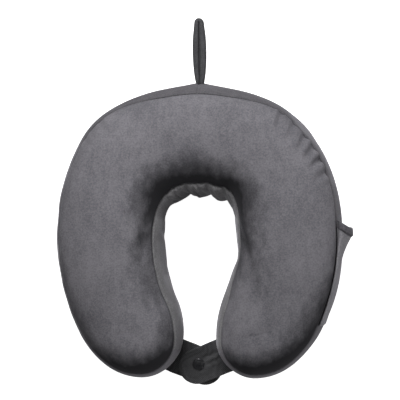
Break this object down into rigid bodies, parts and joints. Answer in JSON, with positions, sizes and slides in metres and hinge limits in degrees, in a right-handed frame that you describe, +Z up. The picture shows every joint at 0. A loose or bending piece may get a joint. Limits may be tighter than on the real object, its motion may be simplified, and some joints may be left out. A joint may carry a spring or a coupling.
{
  "type": "u shaped neck pillow",
  "caption": "U shaped travel neck pillow: foam core in a zipped velour cover, with a snap closure in front, a hanging loop at the back and a side pocket.",
  "frame": {"origin": "on the centre plane, under the middle of the back, on the underside that the pillow rests on", "axes": "+Z up through the thickness, +Y towards the back with the hanging loop, so the U opens towards -Y, +X towards the arm with the pocket"},
  "size_m": [0.2931, 0.3718, 0.106],
  "materials": {
    "velour": "matte",
    "webbing": "matte",
    "foam": "matte",
    "liner": "matte",
    "elastic": "matte",
    "zip_coil": "satin",
    "zip_metal": "satin",
    "snap_metal": "gloss",
    "snap_steel": "satin"
  },
  "bodies": {
    "pillow": {"foam_core": "foam", "foam_liner": "liner", "top_panel": "velour", "bottom_panel": "velour", "outer_band_right": "velour", "outer_band_left": "velour", "inner_band": "velour", "neck_elastic": "elastic", "pocket_panel": "velour", "pocket_hem": "velour", "zip_tape_upper": "webbing", "zip_tape_lower": "webbing", "zip_coil_upper": "zip_coil", "zip_coil_lower": "zip_coil", "zip_stop_right": "zip_metal", "zip_stop_left": "zip_metal"},
    "loop": {"hanging_loop": "velour"},
    "tab_right": {"closure_tab_right": "webbing", "snap_cap_right": "snap_metal", "snap_socket": "snap_steel"},
    "tab_left": {"closure_tab_left": "webbing", "snap_stud": "snap_steel", "snap_cap_left": "snap_metal"},
    "slider": {"zip_slider": "zip_metal"},
    "pull": {"zip_pull": "zip_metal"}
  },
  "joints": [
    {"name": "loop_swing", "type": "hinge", "parent": "pillow", "child": "loop", "pos_m": [0, 0.057, 0.045], "axis": [0, 0, 1], "range_deg": [-75, 75]},
    {"name": "tab_right_fold", "type": "hinge", "parent": "pillow", "child": "tab_right", "pos_m": [0.02312, -0.21657, 0.015], "axis": [-0.3665, 0.9304, 0], "range_deg": [0, 70]},
    {"name": "tab_left_fold", "type": "hinge", "parent": "pillow", "child": "tab_left", "pos_m": [-0.0238, -0.2177, 0.015], "axis": [-0.3907, -0.9205, 0], "range_deg": [-60, 0]},
    {"name": "zip_travel", "type": "hinge", "parent": "pillow", "child": "slider", "pos_m": [0, -0.126, 0.014], "axis": [0, 0, -1], "range_deg": [0, 46.4]},
    {"name": "pull_flip", "type": "hinge", "parent": "slider", "child": "pull", "pos_m": [-0.07098, 0.0396, 0.01313], "axis": [-0.1321, 0.3083, 0.9421], "range_deg": [0, 165]}
  ]
}
